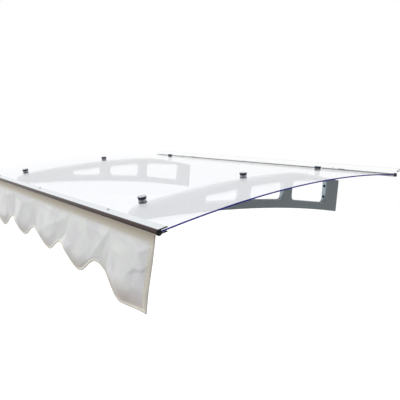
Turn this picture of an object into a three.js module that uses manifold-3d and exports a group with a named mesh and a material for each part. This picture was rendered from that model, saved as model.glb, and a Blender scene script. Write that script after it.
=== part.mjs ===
// Door awning: a clear curved sheet carried by two wall arms, edged by rails, with a scalloped valance.
// Millimetres, +Z up. The house wall is the plane Y = 0, and the awning reaches out along -Y.
// The origin lies on the wall at mid-width, in the middle of the wall seal's contact face.
// "Reach" is a distance from the wall, so a point at reach r has Y = -r.

import * as THREE from 'three';
import { mergeVertices } from 'three/addons/utils/BufferGeometryUtils.js';
import Module from 'manifold-3d';

const wasm = await Module();
wasm.setup();

// Gap left between pieces that touch
const GAP = 0.3;

// Roof sheet: level at the rear rail, then falling along one arc
const SHEET_WIDTH = 1200;
const SHEET_THICKNESS = 3;
const ROOF_RADIUS = 3020;
const ROOF_DROP = 14;

// Rails: a round tube with two lips that hold the sheet's edge
const RAIL_BORE_RADIUS = 3.8;
const RAIL_TUBE_WALL = 1.7;
const RAIL_LIP_THICKNESS = 1.6;
const FRONT_TUBE_REACH = 847.3;
const FRONT_UPPER_LIP = 18;
const FRONT_LOWER_LIP = 16;
const FRONT_SCREW_BACK = 13.5;
const REAR_TUBE_REACH = 34.5;
const REAR_UPPER_LIP = 15;
const REAR_LOWER_LIP = 12;
const REAR_SCREW_AHEAD = 7.5;
const WALL_LEAF_HEIGHT = 11;
const END_CAP_THICKNESS = 2.5;
const REAR_PLUG_LENGTH = 8;

// Screws that pinch the rails onto the sheet
const SCREW_SPACING = 400;
const SCREW_RADIUS = 1.6;
const SCREW_HEAD_RADIUS = 3.2;
const SCREW_CROWN_RADIUS = 2.6;
const SCREW_HEAD_HEIGHT = 1.8;
const SCREW_TIP = 1;

// Rubber strips of the rear rail
const SEAL_THICKNESS = 17;
const SEAL_HEIGHT = 10.5;
const GASKET_BITE = 4.5;
const GASKET_NOSE = 1;

// Arms: arched plates with three windows
const ARM_SPACING = 788;
const ARM_THICKNESS = 16;
const ARM_EDGE_BEVEL = 2;
const ARM_CLEARANCE = 5.5;
const ARM_TOP_DROP = 34.5;
const ARM_WALL_HEIGHT = 103.4;
const ARM_ARCH_RISE = 20;
const ARM_SHOULDER_REACH = 205;
const ARM_SHOULDER_ROUND = 60;
const ARM_NOSE_SETBACK = 63;
const ARM_NOSE_DEPTH = 30;
const ARM_NOSE_ROUND = 40;
const ARM_NOSE_FALL = 23;
const ARM_CHIN_ROUND = 6;
const ARM_TOP_BEAM = 23;
const ARM_REAR_BEAM = 9;
const ARM_BOTTOM_BEAM = 24.5;
const ARM_REAR_POST = 70;
const ARM_POST = 40;
const ARM_SOLID_NOSE = 209;
const WINDOW_SHARES = [0.403, 0.322, 0.275];
const WINDOW_FILLET = 15;
const FILLET_SHARE = 0.45;
const WALL_BOLT_RADIUS = 4.5;
const WALL_BOLT_PITCH = 34;

// Clamps: a cap and a bolt through the sheet into an insert in the arm
const REAR_CLAMP_REACH = 116;
const MIDDLE_CLAMP_REACH = 445;
const FRONT_CLAMP_SETBACK = 96;
const BOLT_RADIUS = 3;
const BOLT_PLAY = 0.6;
const CAP_BASE_RADIUS = 8.5;
const CAP_TOP_RADIUS = 10.5;
const CAP_HEIGHT = 6;
const CAP_CHAMFER = 1;
const CAP_THREAD_DEPTH = 4;
const WASHER_RADIUS = 9;
const WASHER_THICKNESS = 1.2;
const SUPPORT_RADIUS = 8;
const SEAT_CUT = 0.5;
const INSERT_RADIUS = 4.5;
const INSERT_LENGTH = 8;

// Valance: a strip of cloth with a rod in its top hem, cut into scallops along the bottom
const VALANCE_INSET = 8;
const CLOTH_THICKNESS = 1.2;
const SLOT_PLAY = 0.4;
const VALANCE_DROP = 102;
const SCALLOP_DEPTH = 36;
const SCALLOP_END_DEPTH = 53;
const SCALLOP_COUNT = 5;
const SCALLOP_END_FLAT = 105;
const VALANCE_CURL = 5;
const VALANCE_END_RISE = 9;
const VALANCE_END_TAPER = 8;
const VALANCE_COLUMNS = 72;
const VALANCE_ROWS = 6;

// Facets of round pieces and how far a cutting tool runs past what it cuts
const FINE_FACETS = 24;
const COARSE_FACETS = 12;
const ARC_STEPS = 12;
const CUT_MARGIN = 2;
const WELD = 1e-4;

// Sizes that follow from the ones above
const SHEET_HALF = SHEET_THICKNESS / 2;
const TUBE_RADIUS = RAIL_BORE_RADIUS + RAIL_TUBE_WALL;
const UPPER_LIP_UNDERSIDE = TUBE_RADIUS - RAIL_LIP_THICKNESS;
const LOWER_LIP_TOP = -(SHEET_HALF + GAP);
const RAIL_END = SHEET_WIDTH / 2;
const ARM_NOSE_REACH = FRONT_TUBE_REACH - ARM_NOSE_SETBACK;
const ARM_BROW_REACH = ARM_NOSE_REACH - ARM_NOSE_ROUND;
const ARM_WALL_TOP = -ROOF_DROP - ARM_TOP_DROP;
const ARM_WALL_BOTTOM = ARM_WALL_TOP - ARM_WALL_HEIGHT;
const FRONT_CLAMP_REACH = FRONT_TUBE_REACH - FRONT_CLAMP_SETBACK;
const BOLT_HOLE_RADIUS = BOLT_RADIUS + BOLT_PLAY;
const VALANCE_WIDTH = SHEET_WIDTH - 2 * VALANCE_INSET;
const ROOF_CENTRE_HEIGHT = -ROOF_DROP - ROOF_RADIUS;

const SIDES = { left: -1, right: 1 };
const SCREW_PLACES = { left: -SCREW_SPACING, middle: 0, right: SCREW_SPACING };
const CLAMP_REACHES = { rear: REAR_CLAMP_REACH, middle: MIDDLE_CLAMP_REACH, front: FRONT_CLAMP_REACH };

const finish = (color, roughness, metalness) => new THREE.MeshStandardMaterial({ color, roughness, metalness });
const POLYCARBONATE = finish(0xf4f4fb, 0.08, 0);
POLYCARBONATE.transparent = true;
POLYCARBONATE.opacity = 0.4;
const GREY_ABS = finish(0x5d6c72, 0.5, 0);
const ALUMINIUM = finish(0xe8edf0, 0.35, 1);
const DARK_CHROME = finish(0x40454d, 0.12, 1);
const BLACK_PLASTIC = finish(0x0a0c0e, 0.45, 0);
const BLACK_RUBBER = finish(0x2c2e30, 0.8, 0);
const GREY_RUBBER = finish(0x919396, 0.8, 0);
const WHITE_RUBBER = finish(0xe7e9ea, 0.85, 0);
const STEEL = finish(0xcfd2d4, 0.3, 1);
const BRASS = finish(0xb08d4a, 0.35, 1);
const POLYESTER = finish(0xd9dadb, 0.85, 0);

const awning = new THREE.Group();

function addPiece(parent, name, geometry, material) {
  const piece = new THREE.Mesh(geometry, material);
  piece.name = name;
  parent.add(piece);
}

// Cutting and joining of closed solids

function toSolid(geometry) {
  const bare = geometry.clone();
  bare.deleteAttribute('normal');
  bare.deleteAttribute('uv');
  const welded = mergeVertices(bare, WELD);
  const vertProperties = new Float32Array(welded.attributes.position.array);
  const triVerts = new Uint32Array(welded.index.array);
  return new wasm.Manifold(new wasm.Mesh({ numProp: 3, vertProperties, triVerts }));
}

function toGeometry(solid) {
  const mesh = solid.getMesh();
  const geometry = new THREE.BufferGeometry();
  geometry.setAttribute('position', new THREE.BufferAttribute(mesh.vertProperties, 3));
  geometry.setIndex(new THREE.BufferAttribute(mesh.triVerts, 1));
  geometry.computeVertexNormals();
  return geometry;
}

const join = (geometries) => geometries.map(toSolid).reduce((whole, next) => whole.add(next));

const cut = (solid, tools) => tools.map(toSolid).reduce((rest, tool) => rest.subtract(tool), solid);

// Basic forms

// The outline's points without the repeats where two of its stretches meet
function distinct(points) {
  return points.filter((point, i) => point.distanceTo(points[(i + 1) % points.length]) > WELD);
}

// A profile drawn in (Y, Z) and run along X, centred on X = 0
function alongX(shape, width, options = {}) {
  const drawn = shape.extractPoints(options.curveSegments);
  const outline = new THREE.Shape(distinct(drawn.shape));
  outline.holes.push(...drawn.holes.map((hole) => new THREE.Path(distinct(hole))));
  const geometry = new THREE.ExtrudeGeometry(outline, { depth: width, bevelEnabled: false, ...options });
  geometry.computeBoundingBox();
  const { min, max } = geometry.boundingBox;
  geometry.translate(0, 0, -(min.z + max.z) / 2);
  return geometry.applyMatrix4(new THREE.Matrix4().set(0, 0, 1, 0, 1, 0, 0, 0, 0, 1, 0, 0, 0, 0, 0, 1));
}

// A bar along X whose section spans the given Y and Z
function bar(width, yFrom, yTo, zFrom, zTo) {
  const geometry = new THREE.BoxGeometry(width, yTo - yFrom, zTo - zFrom);
  return geometry.translate(0, (yFrom + yTo) / 2, (zFrom + zTo) / 2);
}

const rodAlongX = (radius, length, facets = FINE_FACETS) =>
  new THREE.CylinderGeometry(radius, radius, length, facets).rotateZ(Math.PI / 2);

function rodAlongZ(radius, zFrom, zTo, facets = COARSE_FACETS) {
  const geometry = new THREE.CylinderGeometry(radius, radius, zTo - zFrom, facets);
  return geometry.rotateX(Math.PI / 2).translate(0, 0, (zFrom + zTo) / 2);
}

// A turned piece about Z, from (radius, height) points
function turned(points, facets) {
  const profile = points.map(([radius, height]) => new THREE.Vector2(radius, height));
  return new THREE.LatheGeometry(profile, facets).rotateX(Math.PI / 2);
}

function ring(innerRadius, outerRadius, zFrom, zTo, facets) {
  const profile = [
    [innerRadius, zFrom],
    [outerRadius, zFrom],
    [outerRadius, zTo],
    [innerRadius, zTo],
    [innerRadius, zFrom],
  ];
  return turned(profile, facets);
}

// Roof line

const roofSlope = (reach) => Math.asin((reach - REAR_TUBE_REACH) / ROOF_RADIUS);

// Height of the arc that lies a given depth below the middle of the sheet
function arcHeight(reach, depth) {
  const along = reach - REAR_TUBE_REACH;
  return ROOF_CENTRE_HEIGHT + Math.sqrt((ROOF_RADIUS - depth) ** 2 - along ** 2);
}

// A frame on the middle of the sheet: +Z away from the sheet, +Y along it towards the wall
function roofFrame(x, reach) {
  const frame = new THREE.Matrix4().makeRotationX(roofSlope(reach));
  return frame.setPosition(x, -reach, arcHeight(reach, 0));
}

function groupOnRoof(x, reach) {
  const group = new THREE.Group();
  group.applyMatrix4(roofFrame(x, reach));
  awning.add(group);
  return group;
}

// Arm outline

const ARM_TOP_DEPTH = SHEET_HALF + ARM_CLEARANCE;
const SHOULDER_HEIGHT = arcHeight(ARM_SHOULDER_REACH, ARM_TOP_DEPTH);
const ROUND_START = ARM_SHOULDER_REACH - ARM_SHOULDER_ROUND;
const ROUND_END = ARM_SHOULDER_REACH + ARM_SHOULDER_ROUND;

// Height of the straight rear stretch of the arm's top edge
const rearSlopeHeight = (reach) =>
  ARM_WALL_TOP + (SHOULDER_HEIGHT - ARM_WALL_TOP) * (reach / ARM_SHOULDER_REACH);

// Distance that the rounded nose falls below the roof line
function noseFall(reach) {
  const along = THREE.MathUtils.clamp((reach - ARM_BROW_REACH) / ARM_NOSE_ROUND, 0, 1);
  return ARM_NOSE_FALL * (1 - Math.sqrt(1 - along)) ** 2;
}

function armTopHeight(reach) {
  if (reach <= ROUND_START) {
    return rearSlopeHeight(reach);
  }
  if (reach >= ROUND_END) {
    return arcHeight(reach, ARM_TOP_DEPTH) - noseFall(reach);
  }
  const t = (reach - ROUND_START) / (ROUND_END - ROUND_START);
  const start = rearSlopeHeight(ROUND_START);
  const end = arcHeight(ROUND_END, ARM_TOP_DEPTH);
  return (1 - t) ** 2 * start + 2 * t * (1 - t) * SHOULDER_HEIGHT + t ** 2 * end;
}

// Lower edge: one arc from the wall to the nose that rises between them
const ARCH_FOOT = new THREE.Vector2(0, ARM_WALL_BOTTOM);
const ARCH_TIP = new THREE.Vector2(-ARM_NOSE_REACH, arcHeight(ARM_NOSE_REACH, ARM_TOP_DEPTH) - ARM_NOSE_DEPTH);
const ARCH_HALF_CHORD = ARCH_FOOT.distanceTo(ARCH_TIP) / 2;
const ARCH_RADIUS = (ARCH_HALF_CHORD ** 2 + ARM_ARCH_RISE ** 2) / (2 * ARM_ARCH_RISE);
const ARCH_LEAN = Math.atan2(ARCH_FOOT.y - ARCH_TIP.y, ARCH_FOOT.x - ARCH_TIP.x);
const ARCH_CENTRE = new THREE.Vector2(0, ARM_ARCH_RISE - ARCH_RADIUS)
  .rotateAround(new THREE.Vector2(), ARCH_LEAN)
  .add(ARCH_FOOT.clone().add(ARCH_TIP).multiplyScalar(0.5));

const archHeight = (reach) =>
  ARCH_CENTRE.y + Math.sqrt(ARCH_RADIUS ** 2 - (-reach - ARCH_CENTRE.x) ** 2);

const angleFrom = (centre, point) => Math.atan2(point.y - centre.y, point.x - centre.x);

// A closed path through the corners, each corner rounded as far as its sides allow
function roundedPath(corners, fillet) {
  const path = new THREE.Path();
  corners.forEach((corner, i) => {
    const before = corners[(i + corners.length - 1) % corners.length];
    const after = corners[(i + 1) % corners.length];
    const room = Math.min(corner.distanceTo(before), corner.distanceTo(after)) * FILLET_SHARE;
    const cutBack = Math.min(fillet, room);
    const enter = corner.clone().lerp(before, cutBack / corner.distanceTo(before));
    const leave = corner.clone().lerp(after, cutBack / corner.distanceTo(after));
    if (i === 0) {
      path.moveTo(enter.x, enter.y);
    } else {
      path.lineTo(enter.x, enter.y);
    }
    path.quadraticCurveTo(corner.x, corner.y, leave.x, leave.y);
  });
  path.closePath();
  return path;
}

// Reaches of each window's two ends, from the wall outwards
function windowEnds() {
  const clear = ARM_NOSE_REACH - ARM_SOLID_NOSE - ARM_REAR_POST - ARM_POST * (WINDOW_SHARES.length - 1);
  const total = WINDOW_SHARES.reduce((sum, share) => sum + share, 0);
  let near = ARM_REAR_POST;
  return WINDOW_SHARES.map((share) => {
    const far = near + (clear * share) / total;
    const ends = { near, far };
    near = far + ARM_POST;
    return ends;
  });
}

const WINDOWS = windowEnds();

// The rear window's upper edge follows the arm's own slope, and the others follow the roof
function windowTop(reach, isRearEnd) {
  return isRearEnd ? armTopHeight(reach) - ARM_REAR_BEAM : arcHeight(reach, ARM_TOP_DEPTH) - ARM_TOP_BEAM;
}

const windowBottom = (reach) => archHeight(reach) + ARM_BOTTOM_BEAM;

function windowPath({ near, far }, index) {
  const corners = [
    new THREE.Vector2(-near, windowTop(near, index === 0)),
    new THREE.Vector2(-far, windowTop(far, false)),
    new THREE.Vector2(-far, windowBottom(far)),
    new THREE.Vector2(-near, windowBottom(near)),
  ];
  return roundedPath(corners, WINDOW_FILLET);
}

function armShape() {
  const roofCentre = new THREE.Vector2(-REAR_TUBE_REACH, ROOF_CENTRE_HEIGHT);
  const topRadius = ROOF_RADIUS - ARM_TOP_DEPTH;
  const chin = new THREE.Vector2(-ARM_NOSE_REACH + ARM_CHIN_ROUND, archHeight(ARM_NOSE_REACH - ARM_CHIN_ROUND));
  const noseTop = arcHeight(ARM_NOSE_REACH, ARM_TOP_DEPTH);
  const brow = new THREE.Vector2(-ARM_BROW_REACH, arcHeight(ARM_BROW_REACH, ARM_TOP_DEPTH));
  const shoulderEnd = new THREE.Vector2(-ROUND_END, arcHeight(ROUND_END, ARM_TOP_DEPTH));

  const shape = new THREE.Shape();
  shape.moveTo(0, ARM_WALL_TOP);
  shape.lineTo(0, ARM_WALL_BOTTOM);
  const footAngle = angleFrom(ARCH_CENTRE, ARCH_FOOT);
  shape.absarc(ARCH_CENTRE.x, ARCH_CENTRE.y, ARCH_RADIUS, footAngle, angleFrom(ARCH_CENTRE, chin), false);
  shape.quadraticCurveTo(ARCH_TIP.x, ARCH_TIP.y, ARCH_TIP.x, ARCH_TIP.y + ARM_CHIN_ROUND);
  shape.lineTo(-ARM_NOSE_REACH, noseTop - ARM_NOSE_FALL);
  shape.quadraticCurveTo(-ARM_NOSE_REACH, noseTop, brow.x, brow.y);
  const browAngle = angleFrom(roofCentre, brow);
  shape.absarc(roofCentre.x, roofCentre.y, topRadius, browAngle, angleFrom(roofCentre, shoulderEnd), true);
  shape.quadraticCurveTo(
    -ARM_SHOULDER_REACH,
    SHOULDER_HEIGHT,
    -ROUND_START,
    rearSlopeHeight(ROUND_START),
  );
  shape.closePath();
  shape.holes.push(...WINDOWS.map(windowPath));
  return shape;
}

// Depth, below the middle of the sheet, of the flat seat that is cut into the arm's top for a clamp
function seatDepth(reach) {
  const toClamp = roofFrame(0, reach).invert();
  const heights = [-SUPPORT_RADIUS, 0, SUPPORT_RADIUS].map((offset) => {
    const edge = new THREE.Vector3(0, -(reach + offset), armTopHeight(reach + offset));
    return edge.applyMatrix4(toClamp).z;
  });
  return SEAT_CUT - Math.min(...heights);
}

function clampCuts(reach) {
  const seat = -seatDepth(reach);
  const seatCut = rodAlongZ(SUPPORT_RADIUS + ARM_THICKNESS, seat, 0);
  seatCut.scale(1, SUPPORT_RADIUS / (SUPPORT_RADIUS + ARM_THICKNESS), 1);
  const insertBore = rodAlongZ(INSERT_RADIUS + GAP, seat - INSERT_LENGTH - 2 * GAP, seat + CUT_MARGIN);
  return [seatCut, insertBore].map((tool) => tool.applyMatrix4(roofFrame(0, reach)));
}

// Bores for the wall bolts, through the rear post into the rear window
function wallBoltCuts() {
  const middle = (windowTop(ARM_REAR_POST, true) + windowBottom(ARM_REAR_POST)) / 2;
  return [-WALL_BOLT_PITCH / 2, WALL_BOLT_PITCH / 2].map((offset) => {
    const length = ARM_REAR_POST + 2 * CUT_MARGIN;
    const bore = new THREE.CylinderGeometry(WALL_BOLT_RADIUS, WALL_BOLT_RADIUS, length, COARSE_FACETS);
    return bore.translate(0, -ARM_REAR_POST / 2, middle + offset);
  });
}

function addArms() {
  const plate = alongX(armShape(), ARM_THICKNESS - 2 * ARM_EDGE_BEVEL, {
    bevelEnabled: true,
    bevelThickness: ARM_EDGE_BEVEL,
    bevelSize: ARM_EDGE_BEVEL,
    bevelOffset: -ARM_EDGE_BEVEL,
    bevelSegments: 1,
    curveSegments: ARC_STEPS / 2,
  });
  const tools = [...Object.values(CLAMP_REACHES).flatMap(clampCuts), ...wallBoltCuts()];
  const geometry = toGeometry(cut(toSolid(plate), tools));
  for (const [side, sign] of Object.entries(SIDES)) {
    const arm = new THREE.Group();
    arm.position.x = (sign * ARM_SPACING) / 2;
    addPiece(arm, `arm_${side}`, geometry, GREY_ABS);
    awning.add(arm);
  }
}

// Roof sheet

function sheetShape() {
  const centre = new THREE.Vector2(-REAR_TUBE_REACH, ROOF_CENTRE_HEIGHT);
  const edgeGap = (TUBE_RADIUS + GAP) / ROOF_RADIUS;
  const rear = Math.PI / 2 + edgeGap;
  const front = Math.PI / 2 + roofSlope(FRONT_TUBE_REACH) - edgeGap;
  const shape = new THREE.Shape();
  shape.absarc(centre.x, centre.y, ROOF_RADIUS + SHEET_HALF, rear, front, false);
  shape.absarc(centre.x, centre.y, ROOF_RADIUS - SHEET_HALF, front, rear, true);
  shape.closePath();
  return shape;
}

function addRoofSheet() {
  const drill = (radius) => rodAlongZ(radius, -SHEET_THICKNESS, SHEET_THICKNESS);
  const clampHoles = Object.values(CLAMP_REACHES).flatMap((reach) =>
    Object.values(SIDES).map((sign) => {
      const frame = roofFrame((sign * ARM_SPACING) / 2, reach);
      return drill(BOLT_HOLE_RADIUS).applyMatrix4(frame);
    }),
  );
  const screwHoles = Object.values(SCREW_PLACES).flatMap((x) => [
    drill(SCREW_RADIUS + GAP).translate(0, FRONT_SCREW_BACK, 0).applyMatrix4(roofFrame(x, FRONT_TUBE_REACH)),
    drill(SCREW_RADIUS + GAP).translate(0, -REAR_SCREW_AHEAD, 0).applyMatrix4(roofFrame(x, REAR_TUBE_REACH)),
  ]);
  const sheet = alongX(sheetShape(), SHEET_WIDTH, { curveSegments: ARC_STEPS });
  addPiece(awning, 'roof_sheet', toGeometry(cut(toSolid(sheet), [...clampHoles, ...screwHoles])), POLYCARBONATE);
}

// Clamps

function capProfile(base) {
  const top = base + CAP_HEIGHT;
  const threadTop = base + CAP_THREAD_DEPTH;
  const threadRadius = BOLT_RADIUS + GAP;
  return [
    [0, threadTop],
    [threadRadius, threadTop],
    [threadRadius, base],
    [CAP_BASE_RADIUS, base],
    [CAP_TOP_RADIUS, top - CAP_CHAMFER],
    [CAP_TOP_RADIUS - CAP_CHAMFER, top],
    [0, top],
  ];
}

function addClamp(row, reach, side, sign) {
  const clamp = groupOnRoof((sign * ARM_SPACING) / 2, reach);
  const label = `${row}_${side}`;
  const seat = -seatDepth(reach);
  const washerBase = SHEET_HALF + GAP;
  const capBase = washerBase + WASHER_THICKNESS + GAP;
  const insertTop = seat - GAP;
  const boltTop = capBase + CAP_THREAD_DEPTH - GAP;

  addPiece(clamp, `clamp_cap_${label}`, turned(capProfile(capBase), FINE_FACETS), DARK_CHROME);
  const washer = ring(BOLT_HOLE_RADIUS, WASHER_RADIUS, washerBase, washerBase + WASHER_THICKNESS, COARSE_FACETS);
  addPiece(clamp, `clamp_washer_${label}`, washer, BLACK_RUBBER);
  const bolt = rodAlongZ(BOLT_RADIUS, insertTop - INSERT_LENGTH, boltTop);
  addPiece(clamp, `clamp_bolt_${label}`, bolt, STEEL);
  const support = ring(BOLT_HOLE_RADIUS, SUPPORT_RADIUS, seat + GAP, -SHEET_HALF - GAP, COARSE_FACETS);
  const [kind, rubber] = row === 'rear' ? ['spacer', WHITE_RUBBER] : ['pad', BLACK_RUBBER];
  addPiece(clamp, `clamp_${kind}_${label}`, support, rubber);
  const insert = ring(BOLT_RADIUS + GAP, INSERT_RADIUS, insertTop - INSERT_LENGTH, insertTop, COARSE_FACETS);
  addPiece(clamp, `clamp_insert_${label}`, insert, BRASS);
}

function addClamps() {
  for (const [row, reach] of Object.entries(CLAMP_REACHES)) {
    for (const [side, sign] of Object.entries(SIDES)) {
      addClamp(row, reach, side, sign);
    }
  }
}

// Rails

// Outline pieces shared by a rail and its end caps: the tube and two lips that reach to the given Y
function railSection(width, upperLipEnd, lowerLipEnd) {
  const span = (end) => [Math.min(0, end), Math.max(0, end)];
  return [
    rodAlongX(TUBE_RADIUS, width),
    bar(width, ...span(upperLipEnd), UPPER_LIP_UNDERSIDE, TUBE_RADIUS),
    bar(width, ...span(lowerLipEnd), LOWER_LIP_TOP - RAIL_LIP_THICKNESS, LOWER_LIP_TOP),
  ];
}

const railBore = () => rodAlongX(RAIL_BORE_RADIUS, SHEET_WIDTH + 2 * CUT_MARGIN);

const screwCuts = (y) =>
  Object.values(SCREW_PLACES).map((x) =>
    rodAlongZ(SCREW_RADIUS + GAP, LOWER_LIP_TOP - RAIL_LIP_THICKNESS - CUT_MARGIN, TUBE_RADIUS + CUT_MARGIN)
      .translate(x, y, 0),
  );

function addScrews(rail, label, y) {
  const headBase = TUBE_RADIUS + GAP;
  const tip = LOWER_LIP_TOP - RAIL_LIP_THICKNESS - SCREW_TIP;
  const profile = [
    [0, tip],
    [SCREW_RADIUS, tip],
    [SCREW_RADIUS, headBase],
    [SCREW_HEAD_RADIUS, headBase],
    [SCREW_CROWN_RADIUS, headBase + SCREW_HEAD_HEIGHT],
    [0, headBase + SCREW_HEAD_HEIGHT],
  ];
  for (const [place, x] of Object.entries(SCREW_PLACES)) {
    addPiece(rail, `${label}_screw_${place}`, turned(profile, COARSE_FACETS).translate(x, y, 0), STEEL);
  }
}

// A plate over the end of a rail with a plug that sits in its tube
function endCap(outline, plugLength, sign) {
  const plug = rodAlongX(RAIL_BORE_RADIUS - GAP, plugLength + GAP + END_CAP_THICKNESS / 2);
  const plugMiddle = RAIL_END + GAP + END_CAP_THICKNESS / 2 - (plugLength + GAP + END_CAP_THICKNESS / 2) / 2;
  const plate = outline.map((form) => form.translate(sign * (RAIL_END + GAP + END_CAP_THICKNESS / 2), 0, 0));
  return toGeometry(join([...plate, plug.translate(sign * plugMiddle, 0, 0)]));
}

function addFrontRail() {
  const rail = groupOnRoof(0, FRONT_TUBE_REACH);
  const slotWidth = CLOTH_THICKNESS + 2 * SLOT_PLAY;
  const slot = bar(SHEET_WIDTH + 2 * CUT_MARGIN, -slotWidth / 2, slotWidth / 2, -TUBE_RADIUS - CUT_MARGIN, 0);
  slot.rotateX(-roofSlope(FRONT_TUBE_REACH));
  const section = join(railSection(SHEET_WIDTH, FRONT_UPPER_LIP, FRONT_LOWER_LIP));
  const geometry = toGeometry(cut(section, [railBore(), slot, ...screwCuts(FRONT_SCREW_BACK)]));
  addPiece(rail, 'front_rail', geometry, ALUMINIUM);
  addScrews(rail, 'front_rail', FRONT_SCREW_BACK);
  for (const [side, sign] of Object.entries(SIDES)) {
    const outline = railSection(END_CAP_THICKNESS, FRONT_UPPER_LIP, FRONT_LOWER_LIP);
    addPiece(rail, `front_rail_cap_${side}`, endCap(outline, VALANCE_INSET - GAP, sign), BLACK_PLASTIC);
  }
}

// The sloping flange from the rear rail's tube up to the leaf that faces the wall
function wallFlange() {
  const leafBack = REAR_TUBE_REACH - SEAL_THICKNESS - GAP;
  const leafMiddle = leafBack - RAIL_LIP_THICKNESS / 2;
  const leafTop = ROOF_DROP + WALL_LEAF_HEIGHT / 2 - RAIL_LIP_THICKNESS / 2;
  const leaf = bar(SHEET_WIDTH, leafBack - RAIL_LIP_THICKNESS, leafBack, leafTop - WALL_LEAF_HEIGHT, leafTop);
  const bead = rodAlongX(RAIL_LIP_THICKNESS / 2, SHEET_WIDTH, COARSE_FACETS).translate(0, leafMiddle, leafTop);
  const foot = TUBE_RADIUS - RAIL_LIP_THICKNESS / 2;
  const rise = leafTop - foot;
  const web = bar(SHEET_WIDTH, 0, Math.hypot(leafMiddle, rise), -RAIL_LIP_THICKNESS / 2, RAIL_LIP_THICKNESS / 2);
  web.rotateX(Math.atan2(rise, leafMiddle)).translate(0, 0, foot);
  return [leaf, bead, web];
}

function addRearRail() {
  const rail = groupOnRoof(0, REAR_TUBE_REACH);
  const section = join([...railSection(SHEET_WIDTH, -REAR_UPPER_LIP, -REAR_LOWER_LIP), ...wallFlange()]);
  const geometry = toGeometry(cut(section, [railBore(), ...screwCuts(-REAR_SCREW_AHEAD)]));
  addPiece(rail, 'rear_rail', geometry, ALUMINIUM);
  addScrews(rail, 'rear_rail', -REAR_SCREW_AHEAD);
  for (const [side, sign] of Object.entries(SIDES)) {
    const outline = [rodAlongX(TUBE_RADIUS, END_CAP_THICKNESS)];
    addPiece(rail, `rear_rail_plug_${side}`, endCap(outline, REAR_PLUG_LENGTH, sign), BLACK_PLASTIC);
  }
}

// Rubber strips of the rear rail

function addRearGasket() {
  const rail = groupOnRoof(0, REAR_TUBE_REACH);
  const base = SHEET_HALF + GAP;
  const lipEdge = -REAR_UPPER_LIP - GAP;
  const strip = bar(SHEET_WIDTH, lipEdge - GASKET_NOSE, lipEdge + GASKET_BITE, base, UPPER_LIP_UNDERSIDE - GAP);
  addPiece(rail, 'rear_gasket', strip, GREY_RUBBER);
}

function addWallSeal() {
  const seal = bar(SHEET_WIDTH, -SEAL_THICKNESS, 0, -SEAL_HEIGHT / 2, SEAL_HEIGHT / 2);
  addPiece(awning, 'wall_seal', seal, WHITE_RUBBER);
}

// Valance

const HEM_OUTER_RADIUS = RAIL_BORE_RADIUS - GAP;
const HEM_INNER_RADIUS = HEM_OUTER_RADIUS - CLOTH_THICKNESS;
const SCALLOP_PITCH = (VALANCE_WIDTH - 2 * SCALLOP_END_FLAT) / SCALLOP_COUNT;

const WAVE_END = VALANCE_WIDTH / 2 - SCALLOP_END_FLAT;

// Waves along the middle of the cloth, from -1 at the tip of a tongue to 1 between two; straight at both ends
const scallopWave = (x) => Math.cos((2 * Math.PI * Math.min(Math.abs(x), WAVE_END)) / SCALLOP_PITCH);

// How far into its straight end a point of the cloth lies
const endShare = (x) => THREE.MathUtils.smoothstep(Math.abs(x), WAVE_END, VALANCE_WIDTH / 2);

// Length of the cloth below the rod: the tongues grow longer towards both ends
function clothDrop(x) {
  const outward = Math.min(Math.abs(x) / WAVE_END, 1);
  const tongue = THREE.MathUtils.lerp(SCALLOP_DEPTH, SCALLOP_END_DEPTH, outward ** 2);
  return VALANCE_DROP + (tongue * (1 - scallopWave(x))) / 2 - VALANCE_END_RISE * endShare(x);
}

// Distance that the cloth curls back: none in the rail, at its ends or between tongues, most at a tongue's tip
function clothCurl(x, share) {
  const free = THREE.MathUtils.smoothstep(share, 1 / VALANCE_ROWS, 1);
  return VALANCE_CURL * free * (1 - endShare(x)) * (1 - scallopWave(x)) / 2;
}

// Distance that the cloth's ends draw in towards the hem
const clothTaper = (x, share) => Math.sign(x) * VALANCE_END_TAPER * share * endShare(x);

function hangingCloth() {
  const geometry = new THREE.BoxGeometry(VALANCE_WIDTH, CLOTH_THICKNESS, 1, VALANCE_COLUMNS, 1, VALANCE_ROWS);
  const top = (HEM_INNER_RADIUS + HEM_OUTER_RADIUS) / 2;
  const points = geometry.attributes.position;
  for (let i = 0; i < points.count; i += 1) {
    const x = points.getX(i);
    const share = 0.5 - points.getZ(i);
    const depth = THREE.MathUtils.lerp(top, clothDrop(x), share);
    points.setXYZ(i, x - clothTaper(x, share), points.getY(i) + clothCurl(x, share), -depth);
  }
  return geometry;
}

function hemLoop() {
  const shape = new THREE.Shape().absarc(0, 0, HEM_OUTER_RADIUS, 0, 2 * Math.PI, false);
  shape.holes.push(new THREE.Path().absarc(0, 0, HEM_INNER_RADIUS, 0, 2 * Math.PI, true));
  return alongX(shape, VALANCE_WIDTH, { curveSegments: ARC_STEPS / 2 });
}

function addValance() {
  const hanger = new THREE.Group();
  hanger.position.set(0, -FRONT_TUBE_REACH, arcHeight(FRONT_TUBE_REACH, 0));
  awning.add(hanger);
  addPiece(hanger, 'valance', toGeometry(join([hangingCloth(), hemLoop()])), POLYESTER);
  addPiece(hanger, 'valance_rod', rodAlongX(HEM_INNER_RADIUS - GAP, VALANCE_WIDTH, COARSE_FACETS), STEEL);
}

addRoofSheet();
addArms();
addClamps();
addFrontRail();
addRearRail();
addRearGasket();
addWallSeal();
addValance();

export default awning;
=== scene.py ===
"""Polycarbonate door awning: the looks of every piece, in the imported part's own frame, in metres."""
import math

import bpy
from mathutils import Matrix, Vector, noise
from mathutils.bvhtree import BVHTree
from mathutils.geometry import delaunay_2d_cdt


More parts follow.
